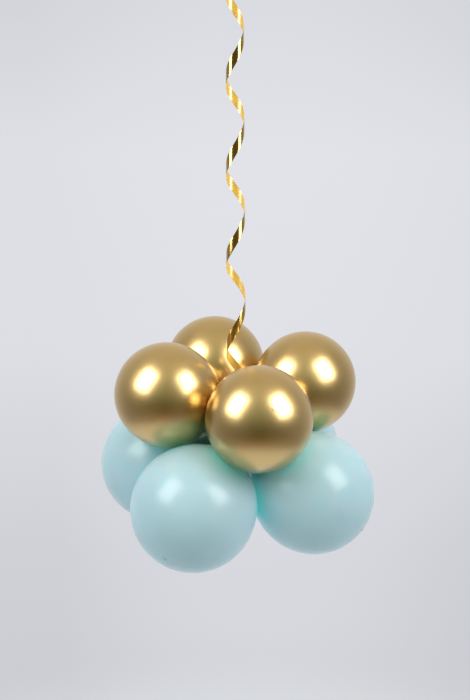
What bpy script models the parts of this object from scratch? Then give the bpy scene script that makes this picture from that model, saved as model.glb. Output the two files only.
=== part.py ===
"""Builds a hanging cluster of round latex balloons as closed solids, in metres, +Z up.

Four gold balloons sit on four larger mint ones, and all eight are knotted at one point, the tie.
A metallic ribbon is tied there too. It rises in an open curl through the ring of gold balloons
and ends in a hanging loop. The origin is the point inside that loop where a hook bears. The gold
balloons lie near the X and Y axes and the mint ones near the diagonals, with the front at -Y.
"""

import math

import bpy
from mathutils import Matrix, Vector

# Balloon bodies
GOLD_RADIUS = 0.0534
MINT_RADIUS = 0.0635
INNER_STRETCH = 1.08
TAPER_ANGLE = 126.0
TAPER_SOFTNESS = 0.40
NECK_STRAIGHT = 0.0110
NECK_RADIUS = 0.0026
TIP_RADIUS = 0.0026
TIP_HEIGHT = 0.0009
TOUCH_GAP = 0.0003

# Knots and rolled tails
KNOT_RADIUS = 0.0044
KNOT_LENGTH = 0.0070
TAIL_LENGTH = 0.0130
TAIL_RADIUS = 0.0021
TAIL_MOUTH = 0.0032
LIP_RADIUS = 0.0043
LIP_THICKNESS = 0.0018
TAIL_LEAN = 32.0

# Shares of the tail's length below its flare, and of the lip's thickness that its edge rounds off
FLARE_SHARE = 0.45
LIP_ROUNDING = 0.25

# Ribbon, from its tie up to the point that hangs on a hook
RIBBON_WIDTH = 0.0075
TIE_RADIUS = 0.0074
CURL_RADIUS = 0.0095
CURL_START = 0.0260
CURL_LENGTH = 0.4300
TOP_KNOT_HEIGHT = 0.0130
TOP_KNOT_RADIUS = 0.0052
LOOP_HEIGHT = 0.0360
LOOP_WIDTH = 0.0200
LOOP_THICKNESS = 0.0012
LOOP_FOOT = 0.0016

# Facets
BODY_SIDES = 24
BODY_ARCS = 10
TAPER_STEPS = 4
KNOT_STEPS = 4
TAIL_SIDES = 10
CURL_SPACING = 0.0450
LOOP_STEPS = 16
TUBE_SIDES = 12
STRIP_SIDES = 6
TIE_SIDES = 20
TIE_RINGS = 12
TOP_KNOT_SIDES = 16
TOP_KNOT_RINGS = 10
MERGE_DISTANCE = 0.00001

# Each ring's lift above the tie's level, in degrees
GOLD_LIFT = 34.2
MINT_LIFT = -27.2

# Each balloon's name, its azimuth from +X and what it lifts beyond its ring's lift, in degrees,
# and its radius as a share of its ring's
GOLD_BALLOONS = (
    ("gold_balloon_front", -89.8, -1.7, 1.0),
    ("gold_balloon_right", -0.5, 0.3, 0.985),
    ("gold_balloon_back", 90.7, 0.2, 0.99),
    ("gold_balloon_left", 178.4, 2.1, 1.0),
)
MINT_BALLOONS = (
    ("mint_balloon_front_left", -136.2, -0.7, 1.0),
    ("mint_balloon_front_right", -45.0, -0.3, 0.985),
    ("mint_balloon_back_right", 41.0, 0.6, 0.995),
    ("mint_balloon_back_left", 140.3, 0.0, 0.985),
)

# Heights worked out from the sizes above
RIBBON_TOP = CURL_START + CURL_LENGTH
TIE_DEPTH = RIBBON_TOP + TOUCH_GAP + TOP_KNOT_HEIGHT + LOOP_HEIGHT
TIE_CENTRE = Vector((0.0, 0.0, -TIE_DEPTH))
ROOT_DISTANCE = TIE_RADIUS + TOUCH_GAP
KNOT_DISTANCE = ROOT_DISTANCE + 0.5 * KNOT_LENGTH + TAIL_RADIUS
KNOT_TOP = KNOT_DISTANCE + 0.5 * KNOT_LENGTH


class Balloon:
    """One balloon's place: its axis runs from the tie out through the middle of its body.

    The body is as far from the tie as lets four bodies of the ring's radius touch one another.
    """

    def __init__(self, name, azimuth, extra_lift, size, ring_lift, ring_radius):
        turn = math.radians(azimuth)
        rise = math.radians(ring_lift + extra_lift)
        self.name = name
        self.radius = size * ring_radius
        self.reach = math.sqrt(2.0) * ring_radius / math.cos(math.radians(ring_lift))
        self.axis = Vector((
            math.cos(rise) * math.cos(turn),
            math.cos(rise) * math.sin(turn),
            math.sin(rise),
        ))
        self.centre = TIE_CENTRE + self.reach * self.axis
        self.side = Vector((-math.sin(turn), math.cos(turn), 0.0))
        self.above = self.axis.cross(self.side)
        self.up_sign = math.copysign(1.0, ring_lift)

    def frame(self):
        """Local Z is the balloon's axis, with the tie's centre as the local origin."""
        turned = Matrix((self.side, self.above, self.axis)).transposed()
        return Matrix.Translation(TIE_CENTRE) @ turned.to_4x4()


def clear_scene():
    for thing in list(bpy.data.objects):
        bpy.data.objects.remove(thing, do_unlink=True)


def new_collection(name):
    group = bpy.data.collections.new(name)
    bpy.context.scene.collection.children.link(group)
    return group


def principled(name, colour, roughness, metallic):
    material = bpy.data.materials.new(name)
    material.use_nodes = True
    shader = material.node_tree.nodes["Principled BSDF"]
    shader.inputs["Base Color"].default_value = (*colour, 1.0)
    shader.inputs["Roughness"].default_value = roughness
    shader.inputs["Metallic"].default_value = metallic
    return material


def smooth(mesh, angle=35.0):
    mesh.shade_smooth()
    mesh.set_sharp_from_angle(angle=math.radians(angle))


def evaluated_mesh(thing, name):
    """The object's mesh with its modifiers done, and the object itself taken away."""
    bpy.context.view_layer.update()
    graph = bpy.context.evaluated_depsgraph_get()
    mesh = bpy.data.meshes.new_from_object(thing.evaluated_get(graph))
    mesh.name = name
    mesh.transform(thing.matrix_world)
    bpy.data.objects.remove(thing, do_unlink=True)
    return mesh


def turned_mesh(name, profile, sides, group, placement):
    """A profile of (radius, height) points, outer side top to bottom, turned about local Z."""
    outline = bpy.data.meshes.new(name + "_profile")
    points = [(radius, 0.0, height) for radius, height in profile]
    edges = [(i, i + 1) for i in range(len(points) - 1)]
    outline.from_pydata(points, edges, [])
    thing = bpy.data.objects.new(name + "_profile", outline)
    group.objects.link(thing)
    thing.matrix_world = placement
    screw = thing.modifiers.new("Turn", "SCREW")
    screw.axis = "Z"
    screw.steps = sides
    screw.render_steps = sides
    screw.use_merge_vertices = True
    screw.merge_threshold = MERGE_DISTANCE
    return evaluated_mesh(thing, name)


def curve_mesh(name, points, depth, group, extrude=0.0, sides=TUBE_SIDES, twist="MINIMUM"):
    """A capped tube, or a strip where extrude is its half width, along the given points."""
    data = bpy.data.curves.new(name + "_path", "CURVE")
    data.dimensions = "3D"
    data.twist_mode = twist
    data.bevel_depth = depth
    data.bevel_resolution = sides // 2 - 2
    data.extrude = extrude
    data.use_fill_caps = True
    spline = data.splines.new("POLY")
    spline.points.add(len(points) - 1)
    for i in range(len(points)):
        spline.points[i].co = (*points[i], 1.0)
    thing = bpy.data.objects.new(name + "_path", data)
    group.objects.link(thing)
    weld = thing.modifiers.new("Weld caps", "WELD")
    weld.merge_threshold = MERGE_DISTANCE
    return evaluated_mesh(thing, name)


def place(name, mesh, material, group):
    mesh.materials.clear()
    mesh.materials.append(material)
    smooth(mesh)
    thing = bpy.data.objects.new(name, mesh)
    group.objects.link(thing)
    return thing


def join_on(thing, mesh, cutters):
    """Unites the object with a mesh that stays among the cutters."""
    helper = bpy.data.objects.new(mesh.name, mesh)
    cutters.objects.link(helper)
    helper.hide_render = True
    helper.display_type = "WIRE"
    union = thing.modifiers.new("Join " + mesh.name, "BOOLEAN")
    union.operation = "UNION"
    union.solver = "EXACT"
    union.object = helper


def body_profile(balloon):
    """Pole, round body, taper, neck and knot, as (radius, height above the tie) points."""
    radius = balloon.radius
    reach = balloon.reach
    points = [(0.0, reach + radius + TIP_HEIGHT)]
    start = math.asin(TIP_RADIUS / radius)
    end = math.radians(TAPER_ANGLE)
    for i in range(BODY_ARCS + 1):
        angle = start + (end - start) * i / BODY_ARCS
        stretch = INNER_STRETCH if math.cos(angle) < 0.0 else 1.0
        points.append((radius * math.sin(angle), reach + stretch * radius * math.cos(angle)))
    points += taper_points(points[-1], end)
    points += knot_points()
    points.append((NECK_RADIUS, ROOT_DISTANCE))
    points.append((0.0, ROOT_DISTANCE))
    return points


def taper_points(start, angle):
    """A smooth run from the round body's edge down to the thin neck at the knot."""
    foot = (NECK_RADIUS, KNOT_TOP)
    span = math.dist(start, foot)
    lean = (
        start[0] + TAPER_SOFTNESS * span * math.cos(angle),
        start[1] - TAPER_SOFTNESS * span * INNER_STRETCH * math.sin(angle),
    )
    rise = (foot[0], foot[1] + NECK_STRAIGHT)
    points = []
    for i in range(1, TAPER_STEPS + 1):
        t = i / TAPER_STEPS
        weights = ((1 - t) ** 3, 3 * t * (1 - t) ** 2, 3 * t * t * (1 - t), t ** 3)
        points.append(tuple(
            sum(w * p[k] for w, p in zip(weights, (start, lean, rise, foot))) for k in range(2)
        ))
    return points


def knot_points():
    """The bulge of the knot, between the neck above it and the root below it."""
    points = []
    for i in range(1, KNOT_STEPS):
        t = math.pi * i / KNOT_STEPS
        bulge = (KNOT_RADIUS - NECK_RADIUS) * math.sin(t)
        points.append((NECK_RADIUS + bulge, KNOT_DISTANCE + 0.5 * KNOT_LENGTH * math.cos(t)))
    points.append((NECK_RADIUS, KNOT_DISTANCE - 0.5 * KNOT_LENGTH))
    return points


def tail_profile():
    """The rolled tail: a thin root that flares to a lip, from the lip's end down to the knot."""
    return [
        (0.0, TAIL_LENGTH),
        (TAIL_MOUTH, TAIL_LENGTH),
        (LIP_RADIUS, TAIL_LENGTH - LIP_ROUNDING * LIP_THICKNESS),
        (LIP_RADIUS, TAIL_LENGTH - (1.0 - LIP_ROUNDING) * LIP_THICKNESS),
        (TAIL_MOUTH, TAIL_LENGTH - LIP_THICKNESS),
        (TAIL_RADIUS, FLARE_SHARE * TAIL_LENGTH),
        (TAIL_RADIUS, 0.0),
        (0.0, 0.0),
    ]


def tail_frame(balloon):
    """Stands the tail on the knot, leaning sideways, upwards on gold and downwards on mint."""
    lean = math.radians(TAIL_LEAN)
    outward = Vector((0.0, 0.0, balloon.up_sign))
    along = (outward * math.cos(lean) + balloon.side * math.sin(lean)).normalized()
    across = along.cross(balloon.axis).normalized()
    turned = Matrix((across, along.cross(across), along)).transposed()
    knot = TIE_CENTRE + KNOT_DISTANCE * balloon.axis
    return Matrix.Translation(knot) @ turned.to_4x4()


def press_flat(mesh, balloon, others):
    """Flattens all but the knot where balloons press on each other, each on its own side."""
    for other in others:
        span = other.centre - balloon.centre
        distance = span.length
        towards = span / distance
        half = (distance ** 2 + balloon.radius ** 2 - other.radius ** 2) / (2.0 * distance)
        limit = half - 0.5 * TOUCH_GAP
        for vertex in mesh.vertices:
            if (vertex.co - TIE_CENTRE).dot(balloon.axis) < KNOT_TOP + TOUCH_GAP:
                continue
            excess = (vertex.co - balloon.centre).dot(towards) - limit
            if excess > 0.0:
                vertex.co -= excess * towards


def make_balloon(balloon, others, material, group, cutters):
    mesh = turned_mesh(balloon.name, body_profile(balloon), BODY_SIDES, group, balloon.frame())
    press_flat(mesh, balloon, others)
    body = place(balloon.name, mesh, material, group)
    tail = turned_mesh(balloon.name + "_tail", tail_profile(), TAIL_SIDES, group, tail_frame(balloon))
    join_on(body, tail, cutters)


def make_tie(material, group):
    """The ribbon's knot round the roots of all the balloons."""
    bpy.ops.mesh.primitive_uv_sphere_add(
        segments=TIE_SIDES, ring_count=TIE_RINGS, radius=TIE_RADIUS, location=TIE_CENTRE)
    ball = bpy.context.object
    place("ribbon_tie", evaluated_mesh(ball, "ribbon_tie"), material, group)


def make_runs(material, group):
    """The short straight stretch above the tie, and one fat tube round the whole curl."""
    low = TIE_CENTRE.z + TIE_RADIUS + TOUCH_GAP
    high = TIE_CENTRE.z + CURL_START - TOUCH_GAP
    run = curve_mesh(
        "ribbon_lower_run", [(0.0, 0.0, low), (0.0, 0.0, high)], 0.5 * RIBBON_WIDTH, group)
    place("ribbon_lower_run", run, material, group)
    count = math.ceil(CURL_LENGTH / CURL_SPACING)
    bottom = TIE_CENTRE.z + CURL_START
    points = [(0.0, 0.0, bottom + CURL_LENGTH * i / count) for i in range(count + 1)]
    curl = curve_mesh("ribbon_curl", points, CURL_RADIUS, group)
    place("ribbon_curl", curl, material, group)


def loop_points():
    """The loop's middle line in its own XY plane: a round top and two legs down to the knot."""
    radius = 0.5 * (LOOP_WIDTH - LOOP_THICKNESS)
    top = 0.5 * LOOP_THICKNESS
    foot = -LOOP_HEIGHT - 0.5 * TOP_KNOT_HEIGHT
    spread = math.asin((radius - LOOP_FOOT) / (top - radius - foot))
    points = [(-LOOP_FOOT, foot, 0.0)]
    for i in range(LOOP_STEPS + 1):
        angle = (math.pi + 2.0 * spread) * i / LOOP_STEPS - spread
        points.append((-radius * math.cos(angle), top - radius + radius * math.sin(angle), 0.0))
    points.append((LOOP_FOOT, foot, 0.0))
    return points


def make_hanging_loop(material, group, cutters):
    """A loop of flat ribbon on a knot. The origin is inside its top, on the ribbon."""
    strip = curve_mesh(
        "ribbon_hanging_loop", loop_points(), 0.5 * LOOP_THICKNESS, group,
        extrude=0.5 * (RIBBON_WIDTH - LOOP_THICKNESS), sides=STRIP_SIDES, twist="Z_UP")
    strip.transform(Matrix.Rotation(0.5 * math.pi, 4, "X"))
    loop = place("ribbon_hanging_loop", strip, material, group)
    bpy.ops.mesh.primitive_uv_sphere_add(
        segments=TOP_KNOT_SIDES, ring_count=TOP_KNOT_RINGS, radius=1.0)
    ball = bpy.context.object
    middle = Matrix.Translation((0.0, 0.0, -LOOP_HEIGHT - 0.5 * TOP_KNOT_HEIGHT))
    ball.matrix_world = middle @ Matrix.Diagonal(
        (TOP_KNOT_RADIUS, TOP_KNOT_RADIUS, 0.5 * TOP_KNOT_HEIGHT, 1.0))
    join_on(loop, evaluated_mesh(ball, "ribbon_top_knot"), cutters)


def main():
    clear_scene()
    group = new_collection("balloon_cluster")
    cutters = new_collection("balloon_cluster_cutters")
    gold = principled("gold_latex", (0.46, 0.31, 0.12), 0.22, 1.0)
    mint = principled("mint_latex", (0.42, 0.68, 0.68), 0.35, 0.0)
    foil = principled("gold_foil", (0.70, 0.52, 0.18), 0.20, 1.0)

    golds = [Balloon(*place_of, GOLD_LIFT, GOLD_RADIUS) for place_of in GOLD_BALLOONS]
    mints = [Balloon(*place_of, MINT_LIFT, MINT_RADIUS) for place_of in MINT_BALLOONS]
    everyone = golds + mints
    for balloon in everyone:
        others = [other for other in everyone if other is not balloon]
        latex = gold if balloon in golds else mint
        make_balloon(balloon, others, latex, group, cutters)

    make_tie(foil, group)
    make_runs(foil, group)
    make_hanging_loop(foil, group, cutters)


main()
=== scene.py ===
import math

import bpy
import numpy as np
from mathutils import Matrix, Vector


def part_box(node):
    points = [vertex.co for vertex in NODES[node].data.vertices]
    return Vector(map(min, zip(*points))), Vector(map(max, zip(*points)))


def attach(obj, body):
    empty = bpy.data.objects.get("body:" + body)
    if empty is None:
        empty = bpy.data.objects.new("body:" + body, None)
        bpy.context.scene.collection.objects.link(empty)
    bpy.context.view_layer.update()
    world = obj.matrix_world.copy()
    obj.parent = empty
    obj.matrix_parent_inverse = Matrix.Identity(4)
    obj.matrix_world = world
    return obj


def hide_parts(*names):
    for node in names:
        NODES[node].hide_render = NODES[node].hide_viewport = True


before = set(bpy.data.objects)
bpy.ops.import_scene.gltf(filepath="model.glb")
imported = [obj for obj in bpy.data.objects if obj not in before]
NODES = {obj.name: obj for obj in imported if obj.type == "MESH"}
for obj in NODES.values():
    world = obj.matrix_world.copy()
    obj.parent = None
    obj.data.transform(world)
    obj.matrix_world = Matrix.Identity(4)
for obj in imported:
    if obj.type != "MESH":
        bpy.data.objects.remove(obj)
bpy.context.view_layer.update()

UP = np.array([0.0, 0.0, 1.0])

# The photograph's frame and its camera, counted from the tie
PHOTO_SIZE = (470, 700)
FOCAL_PX = 1500.0
SENSOR = 36.0
CAMERA_AZIMUTH = math.radians(-16.82)
CAMERA_ELEVATION = math.radians(20.1)
CAMERA_ROLL = math.radians(-0.244)
CAMERA_DISTANCE = 1.5669
TIE_ASIDE = 0.0015
TIE_BELOW = 0.0892

# Balloon shapes, as the solids have them
TOUCH_GAP = 0.0003
TIP_RADIUS = 0.0026
TIP_HEIGHT = 0.0009
INNER_STRETCH = 1.08
TAPER_ANGLE = math.radians(126.0)
TAPER_SOFTNESS = 0.40
NECK_STRAIGHT = 0.0110
NECK_RADIUS = 0.0026
KNOT_LENGTH = 0.0070
TAIL_RADIUS = 0.0021
TAIL_LENGTH = 0.0130
TAIL_LEAN = math.radians(32.0)

# Finer shapes of the balloons
SIDES = 160
TIP_RINGS = 14
BODY_RINGS = 84
TAPER_RINGS = 44
KNOT_RINGS = 12
GOLD_TIP_HEIGHT = 0.0001
SHARP_ANGLE = math.radians(50.0)

# The flats where balloons press on each other: their soft edge, and the height over the knot
# by which they are fully there. The limits keep the edge's exponential from overflowing.
CONTACT_SOFTNESS = 0.0005
PRESS_GROWS_OVER = 0.010
EASE_LIMITS = (-30.0, 60.0)

# Painted shade: how the colour is painted deeper near a neighbour and within the cluster.
# The mask near a neighbour also drives the painted glow.
SHADE_REACH = 0.0090
CLOSENESS_POWER = 1.3
INSIDE_REACH = 0.075
INSIDE_DEPTH = 0.85

# The neck's pleats: their depth, where they start in radii from the centre, how they grow, and
# what gives each balloon its own number. Each wave has its folds, its share, its turn with that
# number and a fixed turn.
GOLD_PLEATS = 0.022
MINT_PLEATS = 0.040
PLEATS_START = 0.85
PLEATS_POWER = 1.4
PLEATS_OWN = (7.0, 3.0)
PLEAT_WAVES = ((9.0, 1.0, 1.0, 0.0), (14.0, 0.7, 2.1, 1.0), (23.0, 0.45, 0.7, 0.0))

# The knot's two wound rods: each one's shift along the neck, lean and radius of its turn
ROD_STEPS = 36
ROD_SIDES = 14
KNOT_ROD_RADIUS = 0.0017
KNOT_RODS = ((0.0015, 0.22, 0.0030), (-0.0012, -0.30, 0.0027))

# The tail: half widths, its curl forward, its creases and the rolled lip at its end
TAIL_SIDES = 28
TAIL_RINGS = 16
TAIL_WIDTH = 0.0033
TAIL_NARROW = 0.62
TAIL_WIDENS_POWER = 1.5
TAIL_THICKNESS = 0.0019
TAIL_THINS = 0.0007
TAIL_CURL = 0.0016
TAIL_CURL_TURN = 2.2
CREASE_DEPTH = 0.08
CREASE_COUNT = 5.0
CREASE_TWIST = 2.0
LIP_OVERHANG = 0.0004
LIP_DEPTH = 0.0015
LIP_RADIUS = 0.0009

# Ribbon
RIBBON_WIDTH = 0.0075
RIBBON_THICKNESS = 0.00016
RIB_COUNT = 5
RIB_HEIGHT = 0.000006
STEPS_PER_RIB = 6
EDGE_THINS = 0.85
EDGE_POWER = 8

# The ribbon's curl: its height above the tie at zero half turns, its climb with each, a swing
# once a turn, and the heights between which that line is left as it is
CURL_STEPS = 84
CORD_STEPS = 24
CURL_FIRST = -2.93
CURL_LAST = 7.64
CURL_AT_ZERO = 0.1452
CURL_CLIMB = 0.04716
CLIMB_SLOWS = 0.00036
CURL_SWING = 0.0019
SWING_FADES = 0.0002
CURL_KEPT_LOW = 0.060
CURL_KEPT_HIGH = 0.450

# The curl's radius: how it closes with height, opens over the tie and ends in the top knot
CURL_RADIUS = 0.0103
CURL_CLOSES = 0.0040
CURL_OPENS = 0.011
CURL_OPENS_OVER = 0.036
CURL_NARROWS = 0.447
CURL_SHUT_BEFORE = 0.002
LEAST_WRAP = 0.0045

# Turns of ribbon wound round the tie: each one's axis, lift over the first, and lean
BAND_STEPS = 64
NEAR_UPRIGHT = 0.8
TIE_INSET = 0.0012
TIE_BAND_WIDTH = 0.9 * RIBBON_WIDTH
TIE_TURNS = (
    ((0.15, 0.10, 1.00), 0.0000, 0.0006),
    ((1.00, 0.25, 0.30), 0.0003, 0.0005),
    ((0.20, 1.00, -0.25), 0.0005, -0.0006),
    ((0.75, -0.70, 0.35), 0.0007, 0.0004),
    ((0.70, 0.72, -0.20), 0.0009, -0.0004),
)

# The hanging loop, and the turns of the knot under it: axis, radius, height and lean
LOOP_WIDTH = 0.0200
LOOP_HEIGHT = 0.0360
LOOP_FOOT = 0.0014
LOOP_ARC_STEPS = 60
LOOP_LEG_STEPS = 24
TOP_KNOT_HEIGHT = 0.0130
KNOT_BAND_WIDTH = 0.7 * RIBBON_WIDTH
KNOT_TURNS = (
    ((0.25, 0.10, 1.00), 0.0040, 0.0024, 0.0007),
    ((-0.30, 0.20, 1.00), 0.0043, -0.0020, -0.0007),
    ((0.90, 0.30, 0.45), 0.0047, 0.0002, 0.0004),
)

TIE_LOW, TIE_HIGH = (Vector(corner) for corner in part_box("ribbon_tie"))
TIE = 0.5 * (TIE_LOW + TIE_HIGH)
TIE_POINT = np.array(TIE)
TIE_RADIUS = 0.5 * (TIE_HIGH.z - TIE_LOW.z)
ROOT_DISTANCE = TIE_RADIUS + TOUCH_GAP
KNOT_DISTANCE = ROOT_DISTANCE + 0.5 * KNOT_LENGTH + TAIL_RADIUS
KNOT_TOP = KNOT_DISTANCE + 0.5 * KNOT_LENGTH
CURL_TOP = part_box("ribbon_curl")[1][2] - TIE.z

GOLD_NODES = [f"gold_balloon_{side}" for side in ("front", "right", "back", "left")]
MINT_NODES = [
    f"mint_balloon_{side}" for side in ("front_left", "front_right", "back_right", "back_left")
]


# Camera

def camera_axes():
    back = Vector((
        math.sin(CAMERA_AZIMUTH) * math.cos(CAMERA_ELEVATION),
        -math.cos(CAMERA_AZIMUTH) * math.cos(CAMERA_ELEVATION),
        math.sin(CAMERA_ELEVATION),
    ))
    right = Vector((math.cos(CAMERA_AZIMUTH), math.sin(CAMERA_AZIMUTH), 0.0))
    up = back.cross(right)
    rolled_right = right * math.cos(CAMERA_ROLL) + up * math.sin(CAMERA_ROLL)
    rolled_up = up * math.cos(CAMERA_ROLL) - right * math.sin(CAMERA_ROLL)
    return rolled_right, rolled_up, back


def camera_side(turn, rise):
    """A direction from the tie, by its angle off the camera's side and above the horizon."""
    azimuth = CAMERA_AZIMUTH - 0.5 * math.pi + turn
    return Vector((
        math.cos(rise) * math.cos(azimuth), math.cos(rise) * math.sin(azimuth), math.sin(rise)))


def make_camera():
    right, up, back = camera_axes()
    data = bpy.data.cameras.new("camera")
    data.sensor_width = SENSOR
    data.lens = FOCAL_PX / max(PHOTO_SIZE) * SENSOR
    camera = bpy.data.objects.new("camera", data)
    bpy.context.scene.collection.objects.link(camera)
    place = TIE - TIE_ASIDE * right + TIE_BELOW * up + CAMERA_DISTANCE * back
    turned = Matrix((right, up, back)).transposed().to_4x4()
    camera.matrix_world = Matrix.Translation(place) @ turned
    bpy.context.scene.camera = camera


# Mesh helpers

class Shell:
    """Gathers lofted rings into one mesh. Each column of faces can take its own material."""

    def __init__(self):
        self.points = []
        self.faces = []
        self.kinds = []

    def loft(self, rings, loop=False, kinds=None):
        """Joins rings of equal count, each a closed outline. With loop, the last meets the first."""
        rings = [np.asarray(ring, float) for ring in rings]
        count = len(rings[0])
        base = sum(len(block) for block in self.points)
        self.points += rings
        kinds = kinds or [0] * count
        spans = len(rings) if loop else len(rings) - 1
        for i in range(spans):
            low = base + i * count
            high = base + (i + 1) % len(rings) * count
            for j in range(count):
                k = (j + 1) % count
                self.faces.append((low + j, low + k, high + k, high + j))
                self.kinds.append(kinds[j])
        if not loop:
            top = base + (len(rings) - 1) * count
            self.faces.append(tuple(base + j for j in reversed(range(count))))
            self.faces.append(tuple(top + j for j in range(count)))
            self.kinds += [0, 0]

    def mesh(self, name):
        data = bpy.data.meshes.new(name)
        data.from_pydata(np.concatenate(self.points).tolist(), [], self.faces)
        data.polygons.foreach_set("material_index", self.kinds)
        data.shade_smooth()
        data.set_sharp_from_angle(angle=SHARP_ANGLE)
        return data


def add_piece(name, data, materials, replaced):
    for material in materials:
        data.materials.append(material)
    piece = bpy.data.objects.new(name, data)
    bpy.context.scene.collection.objects.link(piece)
    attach(piece, "root")
    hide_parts(*replaced)
    return piece


def add_attribute(data, name, values):
    """Writes a number or a vector for each point of a mesh."""
    kind, key = ("FLOAT_VECTOR", "vector") if values.ndim == 2 else ("FLOAT", "value")
    data.attributes.new(name, kind, "POINT").data.foreach_set(key, values.ravel())


def unit(vectors):
    return vectors / np.linalg.norm(vectors, axis=-1, keepdims=True)


def smoothstep(value):
    t = np.clip(value, 0.0, 1.0)
    return t * t * (3.0 - 2.0 * t)


def full_turn(steps):
    """Even angles round a circle, without its first one again at the end."""
    return np.linspace(0.0, 2.0 * math.pi, steps, endpoint=False)


def along_ring(line):
    """Unit directions along a line that closes on itself."""
    return unit(np.roll(line, -1, axis=0) - np.roll(line, 1, axis=0))


# Ribbon

def curl_line(per_turn):
    """The curl's middle line and outward normals, from the tie up into the top knot.

    The count of half turns drives the height, so the curl opens a little towards the balloons
    and its near side climbs further than its far side.
    """
    count = int((CURL_LAST - CURL_FIRST) * 0.5 * per_turn)
    halves = np.linspace(CURL_FIRST, CURL_LAST, count)
    swing = (CURL_SWING - SWING_FADES * halves) * np.cos(math.pi * halves)
    height = CURL_AT_ZERO + CURL_CLIMB * halves - CLIMB_SLOWS * halves ** 2 + swing
    end = CURL_TOP + 0.5 * TOP_KNOT_HEIGHT
    height = np.interp(height, (height[0], CURL_KEPT_LOW, CURL_KEPT_HIGH, height[-1]),
                       (TIE_RADIUS, CURL_KEPT_LOW, CURL_KEPT_HIGH, end))
    opens = smoothstep((height - CURL_OPENS) / CURL_OPENS_OVER)
    shuts = 1.0 - smoothstep((height - CURL_NARROWS) / (end - CURL_SHUT_BEFORE - CURL_NARROWS))
    angle = math.pi * halves + CAMERA_AZIMUTH
    outward = np.stack([np.cos(angle), np.sin(angle), np.zeros_like(angle)], -1)
    radius = (CURL_RADIUS - CURL_CLOSES * height) * opens * shuts
    line = outward * radius[:, None]
    line[:, 2] = height
    return line + TIE_POINT, outward, radius


def strip_section(width, crown=0.0):
    """Across a ribbed strip: each point's place, how far it stands out, and half the thickness."""
    steps = np.linspace(-1.0, 1.0, RIB_COUNT * STEPS_PER_RIB + 1)
    ribs = RIB_HEIGHT * np.cos(steps * math.pi * RIB_COUNT) * (1.0 - steps ** EDGE_POWER)
    half = 0.5 * RIBBON_THICKNESS * (1.0 - EDGE_THINS * steps ** EDGE_POWER)
    return steps * 0.5 * width, ribs - crown * steps ** 2, half


def strip_rings(line, outward, closed=False, width=RIBBON_WIDTH, crown=0.0):
    """Closed outlines of a ribbed strip: across its width on the outer side, and back inside."""
    along = along_ring(line) if closed else unit(np.gradient(line, axis=0))
    across = unit(np.cross(along, outward))
    facing = np.cross(across, along)
    aside, stands, half = strip_section(width, crown)
    rings = []
    for p, side, face in zip(line, across, facing):
        outer = p + np.outer(aside, side) + np.outer(stands + half, face)
        inner = p + np.outer(aside, side) + np.outer(stands - half, face)
        rings.append(np.concatenate([outer, inner[::-1]]))
    return rings


def wrapped_rings(line, outward, radius):
    """As strip_rings, but the strip lies round an upright cylinder, as a drawn-out curl does."""
    along = unit(np.gradient(line, axis=0))
    across = unit(np.cross(along, outward))
    aside, stands, half = strip_section(RIBBON_WIDTH)
    rings = []
    for p, side, face, bend in zip(line, across, outward, np.maximum(radius, LEAST_WRAP)):
        round_way = np.cross(UP, face)
        turn = aside * (side @ round_way) / bend
        normal = np.outer(np.cos(turn), face) + np.outer(np.sin(turn), round_way)
        middle = p + bend * (normal - face) + np.outer(aside * side[2], UP)
        outer = middle + (stands + half)[:, None] * normal
        inner = middle + (stands - half)[:, None] * normal
        rings.append(np.concatenate([outer, inner[::-1]]))
    return rings


def strip_kinds():
    """Material of each column of a strip's faces: foil outside, satin inside."""
    columns = RIB_COUNT * STEPS_PER_RIB
    return [0] * (columns + 1) + [1] * (columns + 1)


def make_curl(materials):
    shell = Shell()
    shell.loft(wrapped_rings(*curl_line(CURL_STEPS)), kinds=strip_kinds())
    return add_piece("curled_ribbon", shell.mesh("curled_ribbon"), materials,
                     ("ribbon_lower_run", "ribbon_curl"))


def ring_band(shell, centre, normal, radius, width, lean):
    """A turn of ribbon laid flat round a ball or knot, closed on itself."""
    normal = unit(np.array(normal, float))
    helper = UP if abs(normal[2]) < NEAR_UPRIGHT else np.array([1.0, 0.0, 0.0])
    first = unit(np.cross(normal, helper))
    second = np.cross(normal, first)
    angle = full_turn(BAND_STEPS)
    outward = np.cos(angle)[:, None] * first + np.sin(angle)[:, None] * second
    line = centre + outward * radius + np.outer(lean * np.sin(angle * 2.0), normal)
    sag = radius - math.sqrt(radius ** 2 - (0.5 * width) ** 2)
    shell.loft(strip_rings(line, outward, closed=True, width=width, crown=sag),
               loop=True, kinds=strip_kinds())


def make_tie(materials):
    """Turns of ribbon wound round the balloons' roots, one over another."""
    shell = Shell()
    inner = TIE_RADIUS - TIE_INSET
    for normal, lift, lean in TIE_TURNS:
        ring_band(shell, TIE_POINT, normal, inner + lift, TIE_BAND_WIDTH, lean)
    return add_piece("ribbon_knot_at_tie", shell.mesh("ribbon_knot_at_tie"), materials,
                     ("ribbon_tie",))


def loop_line():
    """The loop's middle line and outward normals: up one leg, over the top and down the other."""
    radius = 0.5 * LOOP_WIDTH - RIBBON_THICKNESS
    foot = -LOOP_HEIGHT - 0.5 * TOP_KNOT_HEIGHT
    spread = math.asin((radius - LOOP_FOOT) / (-radius - foot))
    arc = np.linspace(-spread, math.pi + spread, LOOP_ARC_STEPS)
    top = np.stack([-radius * np.cos(arc), -radius + radius * np.sin(arc)], -1)
    share = np.linspace(0.0, 1.0, LOOP_LEG_STEPS, endpoint=False)[:, None]
    left = np.array([-LOOP_FOOT, foot]) * (1.0 - share) + top[0] * share
    right = left[::-1] * np.array([-1.0, 1.0])
    flat = np.concatenate([left, top, right])
    line = np.stack([flat[:, 0], np.zeros(len(flat)), flat[:, 1]], -1)
    ahead = np.gradient(line, axis=0)
    outward = unit(np.stack([-ahead[:, 2], np.zeros(len(flat)), ahead[:, 0]], -1))
    return line, outward


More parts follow.
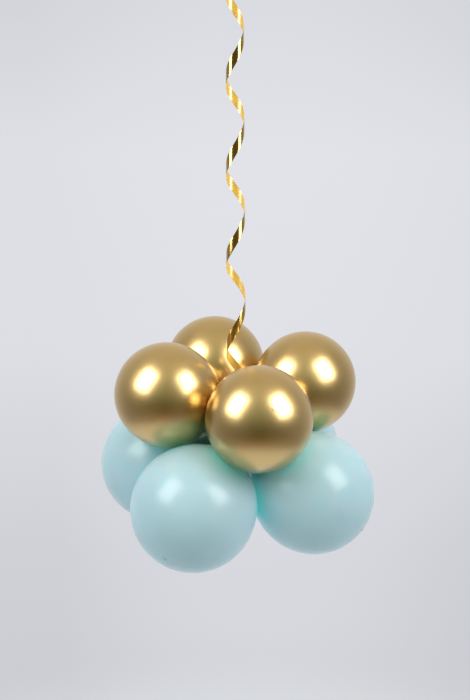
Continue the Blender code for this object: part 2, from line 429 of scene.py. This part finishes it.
def make_hanging_loop(materials):
    """The ribbon's upper end: a wound knot, and a loop that a hook goes through."""
    shell = Shell()
    shell.loft(strip_rings(*loop_line()), kinds=strip_kinds())
    knot = (-LOOP_HEIGHT - 0.5 * TOP_KNOT_HEIGHT) * UP
    for normal, radius, lift, lean in KNOT_TURNS:
        ring_band(shell, knot + lift * UP, normal, radius, KNOT_BAND_WIDTH, lean)
    return add_piece("ribbon_loop_on_knot", shell.mesh("ribbon_loop_on_knot"), materials,
                     ("ribbon_hanging_loop",))


# Balloons

class Place:
    """A balloon's axis, reach and radius, read from its solid."""

    def __init__(self, node):
        data = NODES[node].data
        points = np.empty(len(data.vertices) * 3)
        data.vertices.foreach_get("co", points)
        points = points.reshape(-1, 3) - TIE_POINT
        distances = np.linalg.norm(points, axis=1)
        pole = points[distances.argmax()]
        self.node = node
        self.gold = node.startswith("gold")
        self.axis = pole / distances.max()
        heights = points @ self.axis
        self.radius = np.linalg.norm(points - np.outer(heights, self.axis), axis=1).max()
        self.reach = distances.max() - TIP_HEIGHT - self.radius
        self.centre = TIE_POINT + self.reach * self.axis
        turn = math.atan2(self.axis[1], self.axis[0])
        self.side = np.array([-math.sin(turn), math.cos(turn), 0.0])
        self.above = np.cross(self.axis, self.side)


def body_profile(place):
    """(radius, height from the tie) from the pole to the root, as the solid's but finer."""
    r = place.radius
    tip_edge = 2.0 * TIP_RADIUS / r
    angle = np.concatenate([
        np.linspace(0.0, tip_edge, TIP_RINGS, endpoint=False),
        np.linspace(tip_edge, TAPER_ANGLE, BODY_RINGS),
    ])
    radius = r * np.sin(angle)
    stretch = np.where(np.cos(angle) < 0.0, INNER_STRETCH, 1.0)
    height = place.reach + r * stretch * np.cos(angle)
    tip = GOLD_TIP_HEIGHT if place.gold else TIP_HEIGHT
    height = height + 0.5 * tip * (1.0 + np.cos(math.pi * np.clip(radius / TIP_RADIUS, 0.0, 1.0)))
    start = np.array([radius[-1], height[-1]])
    foot = np.array([NECK_RADIUS, KNOT_TOP])
    span = np.linalg.norm(start - foot)
    lean = start + TAPER_SOFTNESS * span * np.array(
        [math.cos(TAPER_ANGLE), -INNER_STRETCH * math.sin(TAPER_ANGLE)])
    rise = foot + np.array([0.0, NECK_STRAIGHT])
    t = np.linspace(0.0, 1.0, TAPER_RINGS)[1:, None]
    taper = ((1 - t) ** 3 * start + 3 * t * (1 - t) ** 2 * lean
             + 3 * t * t * (1 - t) * rise + t ** 3 * foot)
    down = np.linspace(KNOT_TOP, ROOT_DISTANCE, KNOT_RINGS)[1:]
    radius = np.concatenate([radius, taper[:, 0], np.full(len(down), NECK_RADIUS)])
    height = np.concatenate([height, taper[:, 1], down])
    return radius[1:], height[1:]


def soft_press(points, place, others):
    """Flattens the body where it presses on its neighbours, with a softly rounded edge."""
    heights = (points - TIE_POINT) @ place.axis
    free = smoothstep((heights - KNOT_TOP) / PRESS_GROWS_OVER)
    for other in others:
        span = other.centre - place.centre
        distance = np.linalg.norm(span)
        towards = span / distance
        half = (distance ** 2 + place.radius ** 2 - other.radius ** 2) / (2.0 * distance)
        excess = (points - place.centre) @ towards - (half - 0.5 * TOUCH_GAP)
        eased = np.logaddexp(0.0, np.clip(excess / CONTACT_SOFTNESS, *EASE_LIMITS))
        points = points - np.outer(CONTACT_SOFTNESS * eased * free, towards)
    return points


# Mask of the painted shade near a neighbour, and of the painted glow where two walls meet.
def closeness(points, others):
    """From 1 where a neighbour touches down to 0 a few shade reaches away."""
    gaps = [np.linalg.norm(points - other.centre, axis=1) - other.radius for other in others]
    nearest = np.clip(np.min(gaps, axis=0), 0.0, None)
    return np.exp(-(nearest / SHADE_REACH) ** CLOSENESS_POWER)


# Mask of the painted shade deep within the cluster.
def enclosure(points):
    """How far within the cluster a point lies, fading out softly towards its outside."""
    off_middle = np.linalg.norm(points[:, :2] - TIE_POINT[:2], axis=1)
    return INSIDE_DEPTH * smoothstep((INSIDE_REACH - off_middle) / INSIDE_REACH)


def pleats(angle, height, place):
    """How far the neck's gathered folds stand out of the round, as a share of the radius."""
    start = place.reach - PLEATS_START * place.radius
    depth = smoothstep((start - height) / (start - KNOT_TOP))
    own = abs(place.axis[0] * PLEATS_OWN[0] + place.axis[1] * PLEATS_OWN[1])
    wave = sum(share * np.cos(folds * angle + turn * own + fixed)
               for folds, share, turn, fixed in PLEAT_WAVES)
    deepest = GOLD_PLEATS if place.gold else MINT_PLEATS
    return deepest * depth ** PLEATS_POWER * wave


def rod_ring(shell, centre, first, second, thick):
    """A closed round rod that runs along an ellipse with the two given half axes."""
    angle = full_turn(ROD_STEPS)
    line = centre + np.outer(np.cos(angle), first) + np.outer(np.sin(angle), second)
    normal = unit(np.cross(first, second))
    ring = full_turn(ROD_SIDES)
    rings = []
    for p, tangent in zip(line, along_ring(line)):
        out = np.cross(tangent, normal)
        rings.append(p + thick * (np.outer(np.cos(ring), out) + np.outer(np.sin(ring), normal)))
    shell.loft(rings, loop=True)


def knot_and_tail(shell, place):
    """The wound knot on the neck, and the flat tail that ends in a rolled lip."""
    knot = TIE_POINT + KNOT_DISTANCE * place.axis
    up = UP if place.gold else -UP
    along = unit(up * math.cos(TAIL_LEAN) + place.side * math.sin(TAIL_LEAN))
    across = unit(np.cross(along, place.axis))
    front = np.cross(along, across)
    for shift, lean, size in KNOT_RODS:
        rod_ring(shell, knot + shift * place.axis, size * (place.side + lean * place.axis),
                 size * (place.above - lean * place.axis), KNOT_ROD_RADIUS)
    ring = full_turn(TAIL_SIDES)
    rings = []
    for t in np.linspace(0.0, 1.0, TAIL_RINGS):
        wide = TAIL_WIDTH * (TAIL_NARROW + (1.0 - TAIL_NARROW) * t ** TAIL_WIDENS_POWER)
        thin = TAIL_THICKNESS - TAIL_THINS * t
        centre = knot + TAIL_LENGTH * t * along + TAIL_CURL * math.sin(TAIL_CURL_TURN * t) * front
        crease = 1.0 + CREASE_DEPTH * np.cos(CREASE_COUNT * ring + CREASE_TWIST * t)
        rings.append(centre + np.outer(np.cos(ring) * wide * crease, across)
                     + np.outer(np.sin(ring) * thin * crease, front))
    shell.loft(rings)
    end = knot + TAIL_LENGTH * along + TAIL_CURL * math.sin(TAIL_CURL_TURN) * front
    rod_ring(shell, end, across * (TAIL_WIDTH + LIP_OVERHANG), front * LIP_DEPTH, LIP_RADIUS)


def make_balloon(place, others, material):
    """The body, knot and tail as one mesh, with each point's place in the balloon's own frame."""
    angle = full_turn(SIDES)
    round_about = np.outer(np.cos(angle), place.side) + np.outer(np.sin(angle), place.above)
    shell = Shell()
    rings = []
    for r, h in zip(*body_profile(place)):
        folded = r * (1.0 + pleats(angle, h, place))
        ring = TIE_POINT + h * place.axis + folded[:, None] * round_about
        rings.append(soft_press(ring, place, others))
    shell.loft(rings)
    knot_and_tail(shell, place)
    name = place.node.replace("_balloon_", "_latex_balloon_")
    data = shell.mesh(name)
    turned = np.stack([place.side, place.above, place.axis])
    points = np.concatenate(shell.points)
    # Masks for the painted shade and the painted glow, stored on each point.
    touching = closeness(points, others)
    add_attribute(data, "balloon_place", (points - place.centre) @ turned.T / place.radius)
    add_attribute(data, "closeness", touching)
    add_attribute(data, "shaded", np.maximum(touching, enclosure(points)))
    add_piece(name, data, [material], (place.node,))


# Materials

# Where the denser colour starts and is full, in balloon radii from the centre: the neck's along
# the axis, and the tip's off the axis, on the side that lies past TIP_SIDE along it. The neck's
# colour is partly the thicker latex and, on the mint, partly painted shade on the cluster's inside.
NECK_TONE = (-0.60, -1.15)
TIP_TONE = (0.075, 0.0)
TIP_SIDE = 0.5

# Faint clouds in the latex, and the range of the noise that drives gloss
CLOUD_SCALE = 1.3
CLOUD_DETAIL = 3.0
CLOUD_RANGE = (0.3, 0.7)

# Streaks that run into the neck
STREAK_SPREAD = (9.0, 9.0, 9.0)
STREAK_SCALE = 2.6
STREAK_DETAIL = 4.0
STREAK_DEPTH = 0.0006

# Painted glow: an emission where two thin walls meet, in place of the light that would come through
# them
PAINTED_THROUGH_GLOW = (0.046, 0.122, 0.117)

# Sockets of the Mix node where it mixes colours
MIX_SHARE = 0
MIX_FIRST = 6
MIX_SECOND = 7
MIX_RESULT = 2


def rgba(tone):
    """A colour with full alpha, from its three parts or from one grey level."""
    return (*tone, 1.0) if isinstance(tone, tuple) else (tone, tone, tone, 1.0)


class Nodes:
    """Shorthand calls that add nodes to a shader tree."""

    def __init__(self, tree):
        self.tree = tree

    def node(self, kind, inputs=(), **settings):
        made = self.tree.nodes.new("ShaderNode" + kind)
        for key, value in settings.items():
            setattr(made, key, value)
        for key, value in dict(inputs).items():
            if isinstance(value, bpy.types.NodeSocket):
                self.tree.links.new(value, made.inputs[key])
            else:
                made.inputs[key].default_value = value
        return made

    def ramp(self, source, low, high, out_low, out_high):
        return self.node("MapRange", {
            "Value": source, "From Min": low, "From Max": high,
            "To Min": out_low, "To Max": out_high},
            interpolation_type="SMOOTHSTEP").outputs["Result"]

    def mix(self, share, first, second, **settings):
        inputs = {MIX_SHARE: share, MIX_FIRST: first, MIX_SECOND: second}
        return self.node("Mix", inputs, data_type="RGBA", **settings).outputs[MIX_RESULT]

    def math(self, operation, first, second):
        return self.node("Math", {0: first, 1: second}, operation=operation).outputs[0]

    def vector(self, operation, first, second=(0.0, 0.0, 0.0)):
        return self.node("VectorMath", {0: first, 1: second}, operation=operation).outputs

    def noise(self, place, scale, detail):
        made = self.node("TexNoise", {"Vector": place, "Scale": scale, "Detail": detail})
        return made.outputs["Fac"]


class Look(Nodes):
    """A Principled material, whose plain values are set straight on the shader's sockets."""

    def __init__(self, name, **values):
        self.material = bpy.data.materials.new(name)
        self.material.use_nodes = True
        super().__init__(self.material.node_tree)
        self.shader = self.tree.nodes["Principled BSDF"]
        for key, value in values.items():
            self.shader.inputs[key.replace("_", " ")].default_value = value

    def drive(self, socket, source):
        self.tree.links.new(source, self.shader.inputs[socket])


def latex(name, tones, neck_tone, tip_tone, rough, streaks, shade=None, **values):
    """Blown latex: cloudy colour, a denser neck and tip, and streaks that run into the neck.

    With a shade, the colour is painted deeper towards it within the cluster and close to a
    neighbour: painted shade. Where two thin walls meet, an emission adds a faint painted glow in
    place of the light that would come through them. The mint's dark neck tone is partly painted
    shade too.
    """
    look = Look(name, **values)
    own = look.node("Attribute", attribute_name="balloon_place").outputs["Vector"]
    parts = look.node("SeparateXYZ", {"Vector": own}).outputs
    aside = look.node("CombineXYZ", {"X": parts["X"], "Y": parts["Y"]}).outputs[0]
    from_axis = look.vector("LENGTH", aside)["Value"]
    direction = look.vector("NORMALIZE", aside)[0]
    neck = look.ramp(parts["Z"], *NECK_TONE, 0.0, 1.0)
    near_pole = look.ramp(from_axis, *TIP_TONE, 0.0, 1.0)
    tip = look.math("MULTIPLY", near_pole, look.math("GREATER_THAN", parts["Z"], TIP_SIDE))
    cloud = look.noise(own, CLOUD_SCALE, CLOUD_DETAIL)
    body = look.mix(cloud, *tones)
    # Painted shade: the shaded mask mixes the colour deeper towards the shade colour. Painted glow:
    # the closeness mask drives the emission.
    if shade:
        shaded = look.node("Attribute", attribute_name="shaded").outputs["Fac"]
        body = look.mix(shaded, body, shade)
        close = look.node("Attribute", attribute_name="closeness").outputs["Fac"]
        look.drive("Emission Color", look.mix(close, rgba(0.0), rgba(PAINTED_THROUGH_GLOW)))
    look.drive("Base Color", look.mix(tip, look.mix(neck, body, neck_tone), tip_tone))
    look.drive("Roughness", look.ramp(cloud, *CLOUD_RANGE, *rough))
    spread = look.vector("MULTIPLY", direction, STREAK_SPREAD)[0]
    bump = look.node("Bump", {
        "Strength": look.ramp(neck, 0.0, 1.0, 0.0, streaks), "Distance": STREAK_DEPTH,
        "Height": look.noise(spread, STREAK_SCALE, STREAK_DETAIL)})
    look.drive("Normal", bump.outputs["Normal"])
    return look.material


def gold_latex():
    return latex(
        "gold_latex_look", tones=((0.630, 0.448, 0.190, 1.0), (0.690, 0.486, 0.212, 1.0)),
        neck_tone=(0.62, 0.40, 0.12, 1.0), tip_tone=(0.60, 0.42, 0.180, 1.0),
        rough=(0.285, 0.315), streaks=0.12,
        Metallic=1.0, Coat_Weight=0.35, Coat_Roughness=0.28)


def mint_latex():
    return latex(
        "mint_latex_look", tones=((0.510, 0.725, 0.840, 1.0), (0.540, 0.745, 0.860, 1.0)),
        # The deep neck tone is partly the thicker latex and partly painted shade on the cluster's
        # inner side.
        neck_tone=(0.09, 0.42, 0.42, 1.0), tip_tone=(0.36, 0.64, 0.72, 1.0),
        # The shade colour is painted shade for crevices and the cluster's inner sides.
        rough=(0.23, 0.26), streaks=0.3, shade=(0.19, 0.74, 0.75, 1.0),
        IOR=1.40, Subsurface_Weight=0.6, Subsurface_Scale=0.030,
        # The emission strength turns on the painted glow where two walls meet.
        Subsurface_Radius=(0.25, 1.0, 0.97), Emission_Strength=1.0)


def ribbon_face(name, tones, rough, cloud_scale, cloud_detail, **values):
    """One face of the ribbon, with faint clouds in its colour and gloss."""
    look = Look(name, **values)
    place = look.node("TexCoord").outputs["Object"]
    cloud = look.noise(place, cloud_scale, cloud_detail)
    look.drive("Base Color", look.mix(cloud, *tones))
    look.drive("Roughness", look.ramp(cloud, *CLOUD_RANGE, *rough))
    return look.material


def ribbon_foil():
    """The ribbon's outer face, a mirror-like gold foil under a clear film."""
    return ribbon_face(
        "ribbon_foil_look", tones=((0.50, 0.32, 0.045, 1.0), (0.58, 0.37, 0.06, 1.0)),
        rough=(0.12, 0.16), cloud_scale=90.0, cloud_detail=4.0,
        Metallic=1.0, Coat_Weight=1.0, Coat_IOR=1.8, Coat_Roughness=0.10)


def ribbon_satin():
    """The ribbon's inner face, a satin yellow gold."""
    return ribbon_face(
        "ribbon_satin_look", tones=((0.70, 0.43, 0.062, 1.0), (0.75, 0.48, 0.090, 1.0)),
        rough=(0.32, 0.38), cloud_scale=70.0, cloud_detail=3.0,
        Metallic=0.10, Coat_Weight=1.0, Coat_IOR=1.7, Coat_Roughness=0.22)


# Stage and light

# The floor fades out between two shares of its radius
FLOOR_DROP = 1.25
FLOOR_RADIUS = 2.4
FLOOR_SIDES = 96
FLOOR_FADES = (0.40, 0.75)
FLOOR_TONES = ((0.78, 0.735, 0.83, 1.0), (0.80, 0.755, 0.85, 1.0))
FLOOR_GLOW = (0.91, 0.88, 1.0, 1.0)
GRAIN_SCALE = 3.0
GRAIN_DETAIL = 2.0

# Softboxes: each shines in gloss and lights matt surfaces at its own level
BOX_DISTANCE = 0.90
BOX_SIZE = (0.46, 0.61)
BOX_SHINE = 8.5
SHINE_TONE = (1.0, 0.985, 0.965)
BOX_LIGHT = 5.2
LIGHT_TONE = (1.0, 0.865, 0.875)
BOX_PLACES = {
    "softbox_left": (math.radians(-61.0), math.radians(41.0)),
    "softbox_right": (math.radians(58.5), math.radians(38.7)),
}

# Upright strips of light that only the ribbon catches: turn, height and middle above the tie
STRIP_DISTANCE = 0.88
STRIP_WIDTH = 0.44
STRIP_SHINE = 7.5
STRIP_PLACES = {
    "strip_left": (math.radians(-59.0), 0.39, 0.165),
    "strip_right": (math.radians(58.0), 0.50, 0.110),
}

# What the room's light is multiplied by where it falls on matt surfaces
FILL = (1.30, 1.58, 1.66)

# The room's brightness by the sine of elevation, towards the camera and behind the cluster
ROOM_FRONT = (
    (-1.00, (0.74, 0.75, 0.82)), (-0.86, (0.72, 0.71, 0.79)), (-0.66, (0.54, 0.45, 0.42)),
    (-0.40, (0.18, 0.120, 0.045)), (-0.08, (0.085, 0.085, 0.030)), (0.22, (0.17, 0.185, 0.11)),
    (0.50, (0.29, 0.33, 0.23)), (0.73, (0.36, 0.41, 0.30)), (0.90, (0.50, 0.52, 0.41)),
    (1.00, (0.60, 0.60, 0.48)),
)
ROOM_BACK = (
    (-1.00, (0.74, 0.75, 0.82)), (-0.40, (0.74, 0.73, 0.72)), (0.10, (0.76, 0.75, 0.74)),
    (0.60, (0.74, 0.70, 0.60)), (0.87, (1.00, 0.93, 0.78)), (1.00, (1.00, 0.97, 0.78)),
)
# How much of the front's brightness counts, by the cosine of the angle off the camera's side
FRONT_SHARE = ((-1.0, 0.0), (-0.40, 0.0), (0.14, 0.12), (0.64, 0.56), (0.90, 0.70), (1.0, 1.0))
# How much of the back's brightness is left towards the sides, and the one share that takes
# over from that overhead
BACK_SHARE = ((-1.0, 1.0), (-0.80, 0.85), (-0.40, 0.55), (0.0, 0.40), (0.3, 0.35), (1.0, 0.35))
OVERHEAD = ((-1.0, 0.0), (0.50, 0.0), (0.90, 1.0))
OVERHEAD_SHARE = 0.62

# The paper that the camera sees: its colour by the sine of elevation, and its drop to the sides
BACKDROP = (
    (-0.542, (0.655, 0.675, 0.715)), (-0.465, (0.685, 0.695, 0.735)),
    (-0.342, (0.747, 0.756, 0.794)), (-0.216, (0.760, 0.768, 0.807)),
    (-0.125, (0.705, 0.714, 0.752)),
)
SIDE_DROP = ((-0.542, 0.10), (-0.465, 0.09), (-0.342, 0.035), (-0.216, 0.035), (-0.125, 0.07))
BACKDROP_TURN = math.radians(-1.0)
BACKDROP_SPREAD = math.radians(8.5)


def make_floor():
    bpy.ops.mesh.primitive_circle_add(
        vertices=FLOOR_SIDES, radius=FLOOR_RADIUS, fill_type="NGON",
        location=(0.0, 0.0, TIE.z - FLOOR_DROP))
    floor = bpy.context.object
    floor.name = "floor"
    look = Look("floor_paper", Roughness=0.9, Specular_IOR_Level=0.1,
                Emission_Color=FLOOR_GLOW, Emission_Strength=0.22)
    place = look.node("TexCoord").outputs["Object"]
    distance = look.vector("LENGTH", place)["Value"]
    grain = look.noise(place, GRAIN_SCALE, GRAIN_DETAIL)
    look.drive("Base Color", look.mix(grain, *FLOOR_TONES))
    clear = look.node("BsdfTransparent").outputs[0]
    fades, gone = (share * FLOOR_RADIUS for share in FLOOR_FADES)
    edge = look.ramp(distance, fades, gone, 0.0, 1.0)
    both = look.node("MixShader", {0: edge, 1: look.shader.outputs[0], 2: clear})
    output = look.tree.nodes["Material Output"]
    look.tree.links.new(both.outputs[0], output.inputs["Surface"])
    floor.data.materials.append(look.material)


def area_lamp(name, size, radiance, tone, place, towards):
    """A rectangular lamp that shines back against the given direction, from a place."""
    data = bpy.data.lights.new(name, "AREA")
    data.shape = "RECTANGLE"
    data.size, data.size_y = size
    data.energy = radiance * math.pi * size[0] * size[1]
    data.color = tone
    lamp = bpy.data.objects.new(name, data)
    bpy.context.scene.collection.objects.link(lamp)
    lamp.location = place
    lamp.rotation_euler = towards.to_track_quat("Z", "Y").to_euler()
    return lamp


def make_softbox(name, turn, rise, radiance, shine):
    """A softbox that either shows in gloss or lights matt surfaces, so each has its own level."""
    towards = camera_side(turn, rise)
    lamp = area_lamp(name, BOX_SIZE, radiance, SHINE_TONE if shine else LIGHT_TONE,
                     TIE + BOX_DISTANCE * towards, towards)
    lamp.visible_diffuse = not shine
    lamp.visible_glossy = shine


def make_strip(name, turn, tall, middle, receivers):
    """An upright soft strip of light beside the cluster that only the given pieces catch."""
    towards = camera_side(turn, 0.0)
    place = TIE + STRIP_DISTANCE * towards + Vector((0.0, 0.0, middle))
    lamp = area_lamp(name, (STRIP_WIDTH, tall), STRIP_SHINE, SHINE_TONE, place, towards)
    lamp.light_linking.receiver_collection = receivers


class World(Nodes):
    """A pale studio: even where the camera looks, and darker towards the room behind it."""

    def __init__(self):
        world = bpy.data.worlds.new("studio")
        world.use_nodes = True
        bpy.context.scene.world = world
        super().__init__(world.node_tree)

    def stops(self, source, table):
        """A colour ramp over -1 to 1, from a table of places and levels or colours."""
        share = self.node("MapRange", {"Value": source, "From Min": -1.0, "From Max": 1.0})
        made = self.node("ValToRGB", {"Fac": share.outputs["Result"]})
        elements = made.color_ramp.elements
        while len(elements) < len(table):
            elements.new(0.5)
        for element, (place, level) in zip(elements, table):
            element.position = 0.5 * (place + 1.0)
            element.color = rgba(level)
        return made.outputs["Color"]

    def times(self, first, second):
        return self.mix(1.0, first, second, blend_type="MULTIPLY")

    def make(self):
        direction = self.node("TexCoord").outputs["Generated"]
        parts = self.node("SeparateXYZ", {"Vector": direction}).outputs
        level = self.node("CombineXYZ", {"X": parts["X"], "Y": parts["Y"]}).outputs[0]
        flat = self.vector("NORMALIZE", level)[0]
        facing = self.vector("DOT_PRODUCT", flat, camera_side(0.0, 0.0))["Value"]
        kept = self.mix(self.stops(parts["Z"], OVERHEAD), self.stops(facing, BACK_SHARE),
                        rgba(OVERHEAD_SHARE))
        behind = self.times(self.stops(parts["Z"], ROOM_BACK), kept)
        room = self.mix(self.stops(facing, FRONT_SHARE), behind,
                        self.stops(parts["Z"], ROOM_FRONT))
        path = self.node("LightPath").outputs
        fill = self.mix(path["Is Diffuse Ray"], rgba(1.0), rgba(FILL))
        reflected = self.node("Background", {"Color": self.times(room, fill)})
        seen = self.node("Background", {"Color": self.backdrop(parts["Z"], flat)})
        both = self.node("MixShader", {
            0: path["Is Camera Ray"], 1: reflected.outputs[0], 2: seen.outputs[0]})
        output = self.tree.nodes["World Output"]
        self.tree.links.new(both.outputs[0], output.inputs["Surface"])

    def backdrop(self, height, flat):
        """Pale paper, brightest behind the ribbon and a little darker towards the edges."""
        middle = -camera_side(BACKDROP_TURN, 0.0)
        along = self.vector("DOT_PRODUCT", flat, middle)["Value"]
        aside = self.node("MapRange", {
            "Value": along, "From Min": 1.0, "From Max": math.cos(BACKDROP_SPREAD),
            "To Min": 0.0, "To Max": 1.0}).outputs["Result"]
        drop = self.math("MULTIPLY", aside, self.stops(height, SIDE_DROP))
        return self.mix(drop, self.stops(height, BACKDROP), rgba(0.0))


def main():
    bpy.context.scene.view_settings.view_transform = "Standard"
    make_camera()
    ribbon = [ribbon_foil(), ribbon_satin()]
    curl = make_curl(ribbon)
    loop = make_hanging_loop(ribbon)
    line = curl_line(CORD_STEPS)[0]
    tie = make_tie(ribbon)

    places = [Place(node) for node in GOLD_NODES + MINT_NODES]
    gold = gold_latex()
    mint = mint_latex()
    for place in places:
        others = [other for other in places if other is not place]
        if place.gold:
            make_balloon(place, others, gold)
        else:
            make_balloon(place, others, mint)

    make_floor()
    for name, (turn, rise) in BOX_PLACES.items():
        make_softbox(name + "_shine", turn, rise, BOX_SHINE, True)
        make_softbox(name + "_light", turn, rise, BOX_LIGHT, False)
    receivers = bpy.data.collections.new("ribbon_pieces")
    for piece in (curl, loop, tie):
        receivers.objects.link(piece)
    for name, (turn, tall, middle) in STRIP_PLACES.items():
        make_strip(name, turn, tall, middle, receivers)
    World().make()


main()
